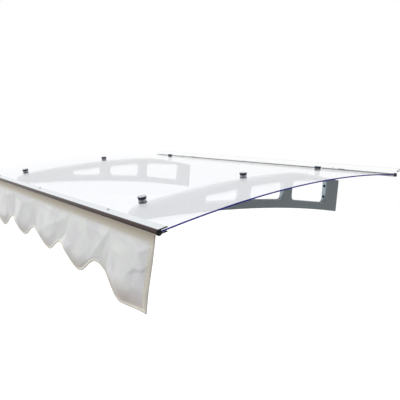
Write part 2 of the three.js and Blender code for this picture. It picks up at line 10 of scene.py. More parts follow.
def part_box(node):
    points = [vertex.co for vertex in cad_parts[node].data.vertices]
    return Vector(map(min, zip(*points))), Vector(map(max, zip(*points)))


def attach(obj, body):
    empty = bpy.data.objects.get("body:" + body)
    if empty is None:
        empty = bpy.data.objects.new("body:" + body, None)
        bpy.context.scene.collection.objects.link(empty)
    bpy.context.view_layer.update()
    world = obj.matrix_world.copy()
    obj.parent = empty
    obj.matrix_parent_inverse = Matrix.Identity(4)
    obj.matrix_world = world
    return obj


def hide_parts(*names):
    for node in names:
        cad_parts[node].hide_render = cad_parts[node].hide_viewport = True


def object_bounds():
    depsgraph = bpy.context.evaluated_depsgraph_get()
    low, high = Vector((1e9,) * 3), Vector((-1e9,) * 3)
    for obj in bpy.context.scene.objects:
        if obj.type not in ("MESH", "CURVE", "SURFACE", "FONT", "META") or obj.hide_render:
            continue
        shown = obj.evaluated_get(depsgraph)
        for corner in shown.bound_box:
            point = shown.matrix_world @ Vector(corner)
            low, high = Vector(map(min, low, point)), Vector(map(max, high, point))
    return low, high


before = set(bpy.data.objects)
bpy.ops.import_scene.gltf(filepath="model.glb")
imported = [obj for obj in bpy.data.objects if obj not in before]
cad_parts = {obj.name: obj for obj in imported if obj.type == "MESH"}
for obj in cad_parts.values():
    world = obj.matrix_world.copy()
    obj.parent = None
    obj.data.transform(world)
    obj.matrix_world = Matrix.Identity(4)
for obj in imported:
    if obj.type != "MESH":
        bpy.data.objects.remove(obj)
cad_low, cad_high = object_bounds()

MM = 0.001

# Roof line: one arc round an axis along X, from the rear rail's tube to the front rail's tube
ROOF_RADIUS = 3020 * MM
ROOF_DROP = 14 * MM
REAR_REACH = 34.5 * MM
FRONT_REACH = 847.3 * MM
ROOF_AXIS = Vector((0, -REAR_REACH, -ROOF_DROP - ROOF_RADIUS))

# Sheet
SHEET_THICKNESS = 3 * MM
SHEET_END_GAP = 5.8 * MM
SHEET_STEPS = 96
SAWN_NORMAL = 0.3
SHEET_EDGE_ROUND = 0.15 * MM

# Clamp caps, turned: each ring is a radius and a height above the washer, in mm
CLAMP_REACHES = {"rear": 116 * MM, "middle": 445 * MM, "front": 751.3 * MM}
ARM_PLACE = 394 * MM
CAP_FOOT = 3.3 * MM
CAP_RINGS = ((8.6, 0), (9.1, 0.4), (9.3, 1.2), (10.2, 4.3), (10.5, 4.8), (10.5, 5.2), (10.2, 5.6), (9.6, 6),
             (8.8, 6), (8.5, 5.7), (0.6, 5.9))
CAP_SEGMENTS = 64
CAP_TOP_NORMAL = 0.6

# Painted dark reflection on the front of the front rail's tube: how far it goes below the tube's middle
DARK_REFLECTION_LOW = -1.5 * MM

# Painted shade line along the top of the rear rail's wall leaf, drawn in black rubber: the height at which
# it starts
LEAF_SHADE_LINE_LOW = 4.2 * MM

# Rail screws: pan heads on the upper lips, with a cross recess; rings from the sheet's middle, in mm
SCREW_PLACES = {"left": -400 * MM, "middle": 0, "right": 400 * MM}
FRONT_SCREW_OFFSET = 13.5 * MM
REAR_SCREW_OFFSET = -7.5 * MM
SCREW_RINGS = ((0.5, -4.4), (1.6, -3.4), (1.6, 5.7), (3.1, 5.8), (3.2, 6), (3.2, 6.4), (3, 6.9),
               (2.6, 7.25), (1.8, 7.5), (0.4, 7.6))
SCREW_SEGMENTS = 32
RECESS_LENGTH = 3.4 * MM
RECESS_WIDTH = 0.8 * MM
RECESS_DEPTH = 1.1 * MM
SCREW_TOP = SCREW_RINGS[-1][1] * MM

# Valance: a strip of cloth hung from a rod in its top hem, scalloped along the bottom
VALANCE_HALF_WIDTH = 592 * MM
ROD_LOW, ROD_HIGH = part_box("valance_rod")
HANGER = (ROD_LOW + ROD_HIGH) / 2
LOOP_RADIUS = 2.9 * MM
VALANCE_DROP = 102 * MM
SCALLOP_DEPTH = 36 * MM
SCALLOP_END_DEPTH = 53 * MM
SCALLOP_COUNT = 5
SCALLOP_END_FLAT = 105 * MM
WAVE_END = VALANCE_HALF_WIDTH - SCALLOP_END_FLAT
SCALLOP_PITCH = 2 * WAVE_END / SCALLOP_COUNT
VALANCE_CURL = 5 * MM
CURL_HEIGHT = 35 * MM
VALANCE_END_RISE = 9 * MM
VALANCE_END_TAPER = 8 * MM
TOP_HEM = 20 * MM
SIDE_HEM = 13 * MM
BOTTOM_HEM = 5 * MM
CLOTH_THICKNESS = 0.6 * MM
HEM_THICKNESS = 1.2 * MM
BINDING_THICKNESS = 3.2 * MM
CLOTH_COLUMNS = 400
LOOP_ROWS = 12
HEM_ROWS = 7
BODY_ROWS = 40
EDGE_ROWS = 8
ROW_ROUND_ROD = 2 * math.pi * LOOP_RADIUS / LOOP_ROWS
HEM_STEP = 0.5 * MM
STITCH_INSET = 1.5 * MM
STITCH_WIDTH = 1.2 * MM
# Painted shadow of the front tube on the top of the cloth: the depths below the rod at which it starts to
# fade and is gone
SHADE_START = 4 * MM
SHADE_END = 32 * MM

# Soft waves of the cloth: how deep, how wide and how long they are, and where they start to swing free
FOLD_DEPTH = 2 * MM
FOLD_WIDTH = 110 * MM
FOLD_LENGTH = 140 * MM
SLOT_DEPTH = 9 * MM
FREE_DEPTH = 60 * MM

# Folds pressed into the cloth: x, depth below the rod and reach to the front, in mm
FOLD_POINTS = (
    (-592, 24, 0), (-390, 24, 0), (-173, 24, 0), (10, 24, 0), (240, 24, 0), (438, 24, 1), (592, 24, 0),
    (-592, 100, 4), (-545, 60, 3), (-487, 90, 4), (-390, 60, -1), (-390, 105, -1), (-351, 70, 1),
    (-345, 115, 5), (-275, 45, 3), (-262, 110, 4), (-173, 40, -1), (-182, 95, -1), (-155, 105, 5),
    (-96, 45, 3), (-82, 110, 1), (12, 36, 0), (8, 95, -1), (40, 105, 3), (32, 37, 0), (102, 76, 4),
    (162, 60, 4), (204, 43, 3), (110, 130, 1), (188, 100, 2), (226, 52, 2), (222, 75, 2), (228, 110, 9),
    (262, 90, 5), (307, 34, 2), (300, 135, 6), (422, 41, 4), (360, 101, 6), (431, 45, 3), (369, 105, 4),
    (408, 86, 3), (445, 60, 3), (425, 110, 1), (473, 41, 2), (477, 64, 5), (477, 70, 4), (533, 39, 3),
    (550, 46, 5), (540, 77, 7), (540, 82, 6), (568, 74, 7), (568, 78, 6), (517, 95, 8), (470, 115, 6),
    (540, 110, 8), (585, 60, 4), (585, 110, 6), (592, 100, 4), (487, 155, 7), (592, 155, 3),
    (292, 165, 4), (97, 165, 0), (-92, 165, 0), (-292, 165, 4), (-592, 165, 3),
)

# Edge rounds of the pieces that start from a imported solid
ARM_EDGE_ROUND = 0.6 * MM
RAIL_EDGE_ROUND = 0.25 * MM
END_CAP_ROUND = 0.5 * MM
MERGE_DISTANCE = 0.01 * MM
FLAT_ANGLE = math.radians(0.4)
ROUND_ANGLE = math.radians(30)
SMOOTH_ANGLE = math.radians(40)
FLAT_WEIGHT = 100

# Finish of the sheet: haze, marks on its sawn edge, and its share of mirror from face-on to a low angle
HAZE_SIZE = 90 * MM
HAZE_ROUGHNESS = 0.012
MIRROR_FACING = (0.2, 0.7)
MIRROR_SHARE = (0.05, 0.58)
SAW_MARK = 2 * MM
SAW_DEPTH = 0.02 * MM

# Finish of the cloth; a thread is drawn as wide as about three real ones, so that the weave shows
THREAD = 1.4 * MM
WEAVE_DEPTH = 0.06 * MM
# Length after which Blender's wave pattern repeats at a scale of 1
WAVE_REPEAT = 0.314
# Stitches: their pitch, and how many weave depths their lines sink in
STITCH_PITCH = 4 * MM
STITCH_SINK = 2
# Soft patches of a second, lighter white, partly the cloth's own tone and partly a painted satin sheen:
# their size, and the noise values between which they fade in
PATCH_SIZE = 75 * MM
PATCH_FADE = (0.36, 0.64)
# Darker and warmer towards the bottom: the depths below the rod at which it starts and is full
DARKER_LOW_DEPTHS = (100 * MM, 150 * MM)

# Broad patches of two close colours in every other finish
MOTTLE_SIZE = 40 * MM

# Photograph's camera
CAMERA_PLACE = Vector((1159.25, -1236.36, 10.31)) * MM
CAMERA_YAW = math.radians(49.717)
CAMERA_PITCH = math.radians(6.46)
CAMERA_ROLL = math.radians(4.0)
CAMERA_LENS = 37.49
CAMERA_SENSOR = 36

# Studio; each light is its name, place, size and power
FLOOR_HEIGHT = -2.1
FLOOR_SIZE = 30
TOP_LIGHT = ("top_light", Vector((0, -0.4, 2.6)), 3.5, 85)
SIDE_LIGHT = ("side_light", Vector((-7, -2.6, -0.1)), 2.5, 560)
FRONT_LIGHT = ("front_light", Vector((0.6, -3.2, 0.8)), 1.2, 10)
ARM_LIGHT = ("arm_light", Vector((-0.5, -2.7, -1.2)), 1, 200)
STUDIO_GROUND = (0.32, 0.26, 0.22, 1)
STUDIO_FILL = (0.34, 0.34, 0.34, 1)
STUDIO_WALL = (1, 1, 1, 1)
STUDIO_CEILING = (2, 2, 2, 1)
# Where each zone of the studio starts and is full, as a part of the direction along an axis
STUDIO_ZONES = {
    "ground": ("Z", -0.1, -0.45),
    "wall": ("Y", 0.06, 0.2),
    "ceiling": ("Z", 0.7, 0.9),
}

SIDES = {"left": -1, "right": 1}


# Shapes

def smoothstep(value, low, high):
    share = min(max((value - low) / (high - low), 0), 1)
    return share * share * (3 - 2 * share)


def roof_seat(x, reach, offset=0.0, height=0.0):
    """Place on the sheet's middle: Z square to the sheet, Y along it towards the wall."""
    angle = math.asin((reach - REAR_REACH) / ROOF_RADIUS)
    turn = Matrix.Rotation(angle, 4, "X")
    middle = ROOF_AXIS + turn @ Vector((x, 0, ROOF_RADIUS))
    return Matrix.Translation(middle) @ turn @ Matrix.Translation((0, offset, height))


# Modelling steps

def only(piece):
    """Makes the piece the only one selected, and the active one."""
    bpy.ops.object.select_all(action="DESELECT")
    piece.select_set(True)
    bpy.context.view_layer.objects.active = piece


def start_piece(name):
    """Names the primitive just added."""
    piece = bpy.context.object
    piece.name = name
    piece.data.name = name
    return piece


def apply_modifier(piece, kind, **settings):
    only(piece)
    modifier = piece.modifiers.new(kind.title(), kind)
    for name, value in settings.items():
        setattr(modifier, name, value)
    bpy.ops.object.modifier_apply(modifier=modifier.name)


def round_edges(piece, width, segments=2):
    apply_modifier(piece, "BEVEL", width=width, segments=segments, limit_method="ANGLE",
                   angle_limit=ROUND_ANGLE, harden_normals=False)


def smooth(piece):
    """Smooth shading that keeps the large flats flat and bends the normals over the small rounds."""
    only(piece)
    bpy.ops.object.shade_smooth_by_angle(angle=SMOOTH_ANGLE)
    apply_modifier(piece, "WEIGHTED_NORMAL", keep_sharp=True, weight=FLAT_WEIGHT)


def make_outward(piece):
    """Merges doubles and turns every face outwards."""
    only(piece)
    bpy.ops.object.mode_set(mode="EDIT")
    bpy.ops.mesh.select_all(action="SELECT")
    bpy.ops.mesh.remove_doubles(threshold=MERGE_DISTANCE)
    bpy.ops.mesh.normals_make_consistent(inside=False)
    bpy.ops.object.mode_set(mode="OBJECT")


def place(piece, matrix):
    """Moves the piece to its seat and keeps the place in its mesh."""
    only(piece)
    piece.matrix_world = matrix
    bpy.ops.object.transform_apply(location=True, rotation=True, scale=True)


def copy_piece(piece, name, matrix):
    """A copy with its own mesh, set at its seat."""
    copy = piece.copy()
    copy.data = piece.data.copy()
    copy.name = name
    copy.data.name = name
    bpy.context.collection.objects.link(copy)
    place(copy, matrix)
    return copy


def discard(piece):
    mesh = piece.data
    bpy.data.objects.remove(piece)
    bpy.data.meshes.remove(mesh)


def finish_piece(piece, materials, nodes):
    """Rides the piece on the frame, hides the nodes that it stands for and gives it its finish."""
    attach(piece, "root")
    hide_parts(*nodes)
    piece.data.materials.clear()
    for material in materials:
        piece.data.materials.append(material)


def give_second_finish(piece, is_second):
    """Gives the faces that pass a test the second of the piece's materials."""
    for face in piece.data.polygons:
        face.material_index = 1 if is_second(face) else 0


def turn_up(name, rings, segments):
    """A turned piece about Z, drawn up ring by ring from a disc; rings are (radius, height) in mm."""
    bpy.ops.object.select_all(action="DESELECT")
    radius, height = rings[0]
    bpy.ops.mesh.primitive_circle_add(vertices=segments, radius=radius * MM, fill_type="NGON",
                                      location=(0, 0, height * MM))
    piece = start_piece(name)
    bpy.ops.object.transform_apply(location=True)
    bpy.ops.object.mode_set(mode="EDIT")
    bpy.ops.mesh.select_all(action="SELECT")
    for next_radius, next_height in rings[1:]:
        rise = (0, 0, (next_height - height) * MM)
        bpy.ops.mesh.extrude_region_move(TRANSFORM_OT_translate={"value": rise})
        share = next_radius / radius
        bpy.ops.transform.resize(value=(share, share, 1), center_override=(0, 0, next_height * MM))
        radius, height = next_radius, next_height
    bpy.ops.object.mode_set(mode="OBJECT")
    make_outward(piece)
    return piece


def from_node(name, node, edge_round):
    """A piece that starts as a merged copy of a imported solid, its flats joined and its edges rounded."""
    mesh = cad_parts[node].data.copy()
    mesh.name = name
    piece = bpy.data.objects.new(name, mesh)
    bpy.context.collection.objects.link(piece)
    only(piece)
    bpy.ops.object.mode_set(mode="EDIT")
    bpy.ops.mesh.select_all(action="SELECT")
    bpy.ops.mesh.remove_doubles(threshold=MERGE_DISTANCE)
    bpy.ops.mesh.dissolve_limited(angle_limit=FLAT_ANGLE)
    bpy.ops.object.mode_set(mode="OBJECT")
    round_edges(piece, edge_round)
    smooth(piece)
    return piece


# Material steps

def linear(hex_colour):
    """An sRGB hex colour as linear RGBA."""
    channels = [int(hex_colour[i:i + 2], 16) / 255 for i in (1, 3, 5)]
    return [c / 12.92 if c <= 0.04045 else ((c + 0.055) / 1.055) ** 2.4 for c in channels] + [1]


def add_node(tree, kind, inputs=None, **settings):
    """Adds a node; inputs maps a socket to a value or to the socket that feeds it."""
    node = tree.nodes.new(kind)
    for name, value in settings.items():
        setattr(node, name, value)
    for socket, value in (inputs or {}).items():
        if isinstance(value, bpy.types.NodeSocket):
            tree.links.new(value, node.inputs[socket])
        else:
            node.inputs[socket].default_value = value
    return node


def new_material(name):
    material = bpy.data.materials.new(name)
    material.use_nodes = True
    material.node_tree.nodes.clear()
    return material, material.node_tree


def finish_material(tree, sockets):
    """Puts a Principled shader with the given sockets on the material's output."""
    shader = add_node(tree, "ShaderNodeBsdfPrincipled", sockets)
    add_node(tree, "ShaderNodeOutputMaterial", {"Surface": shader.outputs["BSDF"]})


def layered(tree, colour, layers):
    """A colour with others laid over it in turn; each layer is its share and its colour."""
    for share, next_colour in layers:
        mix = add_node(tree, "ShaderNodeMix", {0: share, 6: colour, 7: next_colour}, data_type="RGBA")
        colour = mix.outputs[2]
    return colour


def grained(name, colours, roughness, grain, depth, stretch=(1, 1, 1), **sockets):
    """A surface with an even grain: two close colours, a range of roughness and a bump, sizes in metres."""
    material, tree = new_material(name)
    place_in_piece = add_node(tree, "ShaderNodeTexCoord").outputs["Object"]
    run = add_node(tree, "ShaderNodeMapping", {"Vector": place_in_piece, "Scale": stretch}).outputs[0]
    fine = add_node(tree, "ShaderNodeTexNoise", {"Vector": run, "Scale": 1 / grain, "Detail": 3})
    broad = add_node(tree, "ShaderNodeTexNoise", {"Vector": place_in_piece, "Scale": 1 / MOTTLE_SIZE,
                                                  "Detail": 2})
    colour = add_node(tree, "ShaderNodeMix", {0: broad.outputs["Fac"], 6: linear(colours[0]),
                                              7: linear(colours[1])}, data_type="RGBA")
    rough = add_node(tree, "ShaderNodeMapRange", {"Value": fine.outputs["Fac"], "To Min": roughness[0],
                                                  "To Max": roughness[1]})
    bump = add_node(tree, "ShaderNodeBump", {"Height": fine.outputs["Fac"], "Strength": 1,
                                             "Distance": depth})
    finish_material(tree, {"Base Color": colour.outputs[2], "Roughness": rough.outputs[0],
                           "Normal": bump.outputs[0],
                           **{key.replace("_", " "): value for key, value in sockets.items()}})
    return material


def clear_polycarbonate():
    """Extruded polycarbonate: clear from above, and a half mirror at a low angle that veils the arms."""
    material, tree = new_material("extruded clear polycarbonate")
    place_in_piece = add_node(tree, "ShaderNodeTexCoord").outputs["Object"]
    haze = add_node(tree, "ShaderNodeTexNoise", {"Vector": place_in_piece, "Scale": 1 / HAZE_SIZE,
                                                 "Detail": 3})
    rough = add_node(tree, "ShaderNodeMapRange", {"Value": haze.outputs["Fac"], "To Min": 0,
                                                  "To Max": HAZE_ROUGHNESS})
    colour = add_node(tree, "ShaderNodeMix", {0: haze.outputs["Fac"], 6: linear("#f8faff"),
                                              7: linear("#fbfcff")}, data_type="RGBA")
    gloss = add_node(tree, "ShaderNodeBsdfPrincipled", {"Base Color": colour.outputs[2], "Metallic": 1,
                                                        "Roughness": rough.outputs[0]})
    clear = add_node(tree, "ShaderNodeBsdfTransparent")
    facing = add_node(tree, "ShaderNodeLayerWeight", {"Blend": 0.5}).outputs["Facing"]
    mirror = add_node(tree, "ShaderNodeMapRange", {"Value": facing, "From Min": MIRROR_FACING[0],
                                                   "From Max": MIRROR_FACING[1],
                                                   "To Min": MIRROR_SHARE[0], "To Max": MIRROR_SHARE[1]})
    sheet = add_node(tree, "ShaderNodeMixShader", {0: mirror.outputs[0], 1: clear.outputs[0],
                                                   2: gloss.outputs[0]})
    add_node(tree, "ShaderNodeOutputMaterial", {"Surface": sheet.outputs[0]})
    return material


def sawn_polycarbonate():
    """Sawn edge of the sheet: deep blue from outside, and lost in the light when seen through the sheet."""
    material, tree = new_material("sawn polycarbonate edge")
    place_in_piece = add_node(tree, "ShaderNodeTexCoord").outputs["Object"]
    saw = add_node(tree, "ShaderNodeTexNoise", {"Vector": place_in_piece, "Scale": 1 / SAW_MARK,
                                                "Detail": 3})
    colour = add_node(tree, "ShaderNodeMix", {0: saw.outputs["Fac"], 6: linear("#0a0c7a"),
                                              7: linear("#14178c")}, data_type="RGBA")
    bump = add_node(tree, "ShaderNodeBump", {"Height": saw.outputs["Fac"], "Strength": 1,
                                             "Distance": SAW_DEPTH})
    edge = add_node(tree, "ShaderNodeBsdfPrincipled", {"Base Color": colour.outputs[2], "Roughness": 0.5,
                                                       "Normal": bump.outputs[0], "IOR": 1.585,
                                                       "Specular IOR Level": 0.1})
    clear = add_node(tree, "ShaderNodeBsdfTransparent")
    inside = add_node(tree, "ShaderNodeNewGeometry").outputs["Backfacing"]
    shown = add_node(tree, "ShaderNodeMixShader", {0: inside, 1: edge.outputs[0], 2: clear.outputs[0]})
    add_node(tree, "ShaderNodeOutputMaterial", {"Surface": shown.outputs[0]})
    return material


def woven_polyester():
    """Woven polyester: matt off-white threads, doubled and creamier in the hems, with rows of stitches."""
    material, tree = new_material("woven polyester cloth")
    uv = add_node(tree, "ShaderNodeUVMap", uv_map="cloth").outputs["UV"]
    thread_scale = WAVE_REPEAT / THREAD
    warp = add_node(tree, "ShaderNodeTexWave", {"Vector": uv, "Scale": thread_scale}, bands_direction="X")
    weft = add_node(tree, "ShaderNodeTexWave", {"Vector": uv, "Scale": thread_scale}, bands_direction="Y")
    weave = add_node(tree, "ShaderNodeMath", {0: warp.outputs["Fac"], 1: weft.outputs["Fac"]},
                     operation="ADD")
    hem = add_node(tree, "ShaderNodeAttribute", attribute_name="hem").outputs["Fac"]
    stitch_line = add_node(tree, "ShaderNodeAttribute", attribute_name="stitch_line").outputs["Fac"]
    along = add_node(tree, "ShaderNodeTexWave", {"Vector": uv, "Scale": WAVE_REPEAT / STITCH_PITCH},
                     bands_direction="DIAGONAL")
    stitches = add_node(tree, "ShaderNodeMath", {0: stitch_line, 1: along.outputs["Fac"]},
                        operation="MULTIPLY")
    blotch = add_node(tree, "ShaderNodeTexNoise", {"Vector": uv, "Scale": 1 / PATCH_SIZE, "Detail": 2})
    patches = add_node(tree, "ShaderNodeMapRange", {"Value": blotch.outputs["Fac"],
                                                    "From Min": PATCH_FADE[0],
                                                    "From Max": PATCH_FADE[1]},
                       interpolation_type="SMOOTHSTEP")
    height = add_node(tree, "ShaderNodeSeparateXYZ", {0: uv}).outputs["Y"]
    darker_low = add_node(tree, "ShaderNodeMapRange", {"Value": height, "From Min": -DARKER_LOW_DEPTHS[0],
                                                  "From Max": -DARKER_LOW_DEPTHS[1]},
                     interpolation_type="SMOOTHSTEP")
    shade = add_node(tree, "ShaderNodeAttribute", attribute_name="shade").outputs["Fac"]
    colour = layered(tree, linear("#d5d5d7"), (
        # lighter patches: partly the cloth's own tone, partly a painted satin sheen
        (patches.outputs[0], linear("#dee0de")),
        # darker and warmer colour towards the bottom of the cloth
        (darker_low.outputs[0], linear("#c2b9b3")),
        (hem, linear("#dad6cb")),
        # painted shadow cast by the front tube on the top of the cloth, in brown
        (shade, linear("#b3a897")),
        (stitches.outputs[0], linear("#bdb7aa")),
    ))
    relief = add_node(tree, "ShaderNodeMath", {0: stitch_line, 1: -STITCH_SINK, 2: weave.outputs[0]},
                      operation="MULTIPLY_ADD")
    bump = add_node(tree, "ShaderNodeBump", {"Height": relief.outputs[0], "Strength": 1,
                                             "Distance": WEAVE_DEPTH})
    finish_material(tree, {"Base Color": colour, "Roughness": 0.85, "Normal": bump.outputs[0],
                           "Sheen Weight": 0.15, "IOR": 1.5})
    return material


# Extruded aluminium, satin anodised: pale blue-grey metal with fine drawing lines along its length
SATIN_ALUMINIUM = grained("satin anodised aluminium", ("#e1e6ea", "#e8ecef"), (0.14, 0.24), 0.8 * MM,
                          0.004 * MM, stretch=(0.01, 1, 1), Metallic=1)
# Extruded aluminium with a painted dark reflection: dark brown, standing for the dark surroundings mirrored
# in the tube's front, with a satin gloss and the same lines
DARK_REFLECTION_ALUMINIUM = grained("aluminium with painted dark reflection", ("#463b38", "#4e423f"), (0.3, 0.4), 0.8 * MM,
                           0.004 * MM, stretch=(0.01, 1, 1), Metallic=1)
# Extruded aluminium, bright anodised: nearly white, with the same lines
BRIGHT_ALUMINIUM = grained("bright anodised aluminium", ("#fafbfc", "#fefefe"), (0.1, 0.18), 0.8 * MM,
                           0.003 * MM, stretch=(0.01, 1, 1), Metallic=1)
# Moulded ABS: even satin blue-grey with a fine moulded grain
ABS = grained("moulded grey ABS", ("#5e686d", "#646e73"), (0.42, 0.52), 0.9 * MM, 0.02 * MM, IOR=1.53)
# Dark chrome plating: near mirror, a little smudged
DARK_CHROME = grained("dark chrome plating", ("#3f4655", "#495060"), (0.06, 0.16), 3 * MM, 0.01 * MM,
                      Metallic=1)
# Chrome on the top of a clamp cap, lighter than the sides as a painted reflection of the light from above,
# with a fine brushed grain
TOP_LIT_CHROME = grained("brushed bright chrome", ("#bcc2c9", "#c8cdd3"), (0.12, 0.22), 0.5 * MM, 0.006 * MM,
                        stretch=(0.05, 1, 1), Metallic=1)
# Moulded nylon: black with a soft sheen
BLACK_NYLON = grained("moulded black nylon", ("#050607", "#090b0d"), (0.42, 0.55), 0.8 * MM, 0.015 * MM,
                      IOR=1.53, Specular_IOR_Level=0.2)
# Extruded rubber: matt and nearly black
BLACK_RUBBER = grained("extruded black rubber", ("#2a2b2e", "#343639"), (0.7, 0.85), 0.7 * MM, 0.03 * MM,
                       IOR=1.52)
# Extruded rubber: matt and mid grey
GREY_RUBBER = grained("extruded grey rubber", ("#8b8d90", "#96989b"), (0.7, 0.85), 0.7 * MM, 0.03 * MM,
                      IOR=1.52)
# Cellular rubber strip: matt and white, with small open pores
WHITE_RUBBER = grained("white cellular rubber", ("#e2e4e5", "#eceeee"), (0.8, 0.95), 1.1 * MM, 0.12 * MM,
                       IOR=1.5)
# Stainless steel, turned and rolled: bright grey
STEEL = grained("turned stainless steel", ("#c9ccce", "#d6d8da"), (0.2, 0.34), 0.8 * MM, 0.01 * MM,
                Metallic=1)
# Turned brass: soft yellow metal
BRASS = grained("turned brass", ("#b08f4c", "#bd9c58"), (0.24, 0.36), 0.8 * MM, 0.01 * MM, Metallic=1)
# Paper of the studio's floor: matt and nearly white
STUDIO_PAPER = grained("pale studio paper", ("#f7f7f7", "#fafafa"), (0.8, 0.9), 2 * MM, 0.01 * MM)
CLEAR_SHEET = clear_polycarbonate()
SHEET_EDGE = sawn_polycarbonate()
CLOTH = woven_polyester()


# Roof sheet

def make_roof_sheet():
    """A strip of the sheet's section, spun round the roof's axis from the rear rail to the front rail."""
    low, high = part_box("roof_sheet")
    start = SHEET_END_GAP / ROOF_RADIUS
    sweep = math.asin((FRONT_REACH - REAR_REACH) / ROOF_RADIUS) - 2 * start
    turn = Matrix.Rotation(start, 4, "X")
    bpy.ops.object.select_all(action="DESELECT")
    bpy.ops.mesh.primitive_plane_add(size=1, rotation=(math.pi / 2 + start, 0, 0),
                                     location=ROOF_AXIS + turn @ Vector((0, 0, ROOF_RADIUS)))
    sheet = start_piece("clear_roof_sheet")
    sheet.scale = (high.x - low.x, SHEET_THICKNESS, 1)
    bpy.ops.object.transform_apply(location=True, rotation=True, scale=True)
    bpy.ops.object.mode_set(mode="EDIT")
    bpy.ops.mesh.select_all(action="SELECT")
    bpy.ops.mesh.spin(steps=SHEET_STEPS, angle=sweep, center=ROOF_AXIS, axis=(-1, 0, 0))
    bpy.ops.object.mode_set(mode="OBJECT")
    make_outward(sheet)
    round_edges(sheet, SHEET_EDGE_ROUND)
    smooth(sheet)
    finish_piece(sheet, (CLEAR_SHEET, SHEET_EDGE), ("roof_sheet",))
    give_second_finish(sheet, lambda face: abs(face.normal.x) > SAWN_NORMAL)


# Arms, rails and end pieces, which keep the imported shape

def make_arms():
    for side in SIDES:
        arm = from_node(f"moulded_arm_{side}", f"arm_{side}", ARM_EDGE_ROUND)
        finish_piece(arm, (ABS,), (f"arm_{side}",))


def make_front_rail():
    """The tube's front carries a painted dark reflection down to below its middle; its underside and the
    lips are satin.
    """
    rail = from_node("front_rail_profile", "front_rail", RAIL_EDGE_ROUND)
    finish_piece(rail, (SATIN_ALUMINIUM, DARK_REFLECTION_ALUMINIUM), ("front_rail",))
    to_tube = roof_seat(0, FRONT_REACH).inverted()

    def is_dark_reflection(face):
        seat = to_tube @ face.center
        return seat.y < 0 and seat.z > DARK_REFLECTION_LOW

    give_second_finish(rail, is_dark_reflection)


def make_rear_rail():
    """The profile is bright; the bead along the top of its wall leaf is black rubber, a painted shade line.
    """
    rail = from_node("rear_rail_profile", "rear_rail", RAIL_EDGE_ROUND)
    finish_piece(rail, (BRIGHT_ALUMINIUM, BLACK_RUBBER), ("rear_rail",))
    give_second_finish(rail, lambda face: face.center.z > LEAF_SHADE_LINE_LOW)


def make_rails():
    """Both rails, with the caps and plugs in their ends."""
    make_front_rail()
    make_rear_rail()
    for side in SIDES:
        cap = from_node(f"front_end_cap_{side}", f"front_rail_cap_{side}", END_CAP_ROUND)
        finish_piece(cap, (BLACK_NYLON,), (f"front_rail_cap_{side}",))
        plug = from_node(f"rear_end_plug_{side}", f"rear_rail_plug_{side}", END_CAP_ROUND)
        finish_piece(plug, (BLACK_NYLON,), (f"rear_rail_plug_{side}",))


# Clamp caps

def make_clamp_caps():
    """Dark chrome caps whose tops are lighter as a painted reflection of the light from above, turned once
    and copied to each clamp.
    """
    pattern = turn_up("clamp_cap_pattern", CAP_RINGS, CAP_SEGMENTS)
    smooth(pattern)
    top_faces = {face.index for face in pattern.data.polygons if face.normal.z > CAP_TOP_NORMAL}
    for row, reach in CLAMP_REACHES.items():
        for side, sign in SIDES.items():
            seat = roof_seat(sign * ARM_PLACE, reach, height=CAP_FOOT)
            cap = copy_piece(pattern, f"chrome_cap_{row}_{side}", seat)
            finish_piece(cap, (DARK_CHROME, TOP_LIT_CHROME), (f"clamp_cap_{row}_{side}",))
            give_second_finish(cap, lambda face: face.index in top_faces)
    discard(pattern)


# Rail screws

def make_screw_pattern():
    """A pan-head screw whose cross recess is cut by two crossed bars."""
    screw = turn_up("screw_pattern", SCREW_RINGS, SCREW_SEGMENTS)
    for turn in (0, math.pi / 2):
        bpy.ops.object.select_all(action="DESELECT")
        bpy.ops.mesh.primitive_cube_add(size=1, location=(0, 0, SCREW_TOP), rotation=(0, 0, turn))
        cutter = start_piece("recess_cutter")
        cutter.scale = (RECESS_LENGTH, RECESS_WIDTH, 2 * RECESS_DEPTH)
        bpy.ops.object.transform_apply(location=True, rotation=True, scale=True)
        apply_modifier(screw, "BOOLEAN", operation="DIFFERENCE", object=cutter)
        discard(cutter)
    smooth(screw)
    return screw


def make_rail_screws():
    pattern = make_screw_pattern()
    rails = {"front": (FRONT_REACH, FRONT_SCREW_OFFSET), "rear": (REAR_REACH, REAR_SCREW_OFFSET)}
    for rail, (reach, offset) in rails.items():
        for side, x in SCREW_PLACES.items():
            screw = copy_piece(pattern, f"{rail}_pan_screw_{side}", roof_seat(x, reach, offset))
            finish_piece(screw, (STEEL,), (f"{rail}_rail_screw_{side}",))
    discard(pattern)


# Valance

def scallop_wave(x):
    """1 in the notches and -1 at the tips of the tongues, which run straight on at both ends."""
    return math.cos(2 * math.pi * min(abs(x), WAVE_END) / SCALLOP_PITCH)


def end_share(x):
    """0 where the scallops stop, rising to 1 at the end of the cloth."""
    return smoothstep(abs(x), WAVE_END, VALANCE_HALF_WIDTH)


def cloth_drop(x):
    """Depth of the scalloped edge below the rod; the tongues grow longer towards both ends."""
    outward = min(abs(x) / WAVE_END, 1)
    tongue = SCALLOP_DEPTH + (SCALLOP_END_DEPTH - SCALLOP_DEPTH) * outward ** 2
    return VALANCE_DROP + tongue * (1 - scallop_wave(x)) / 2 - VALANCE_END_RISE * end_share(x)


def lay_folds():
    """The folds as flat facets between the fold points, to be probed from the front."""
    places = [Vector((x, depth)) * MM for x, depth, _ in FOLD_POINTS]
    facets = delaunay_2d_cdt(places, [], [], 0, MERGE_DISTANCE)[2]
    return BVHTree.FromPolygons([Vector(point) * MM for point in FOLD_POINTS], facets)


def fold_offset(folds, x, depth):
    """How far the folds stand out at a point of the cloth; nothing above and beyond them."""
    hit = folds.ray_cast(Vector((x, depth, 1)), Vector((0, 0, -1)))[0]
    return hit.z if hit else 0


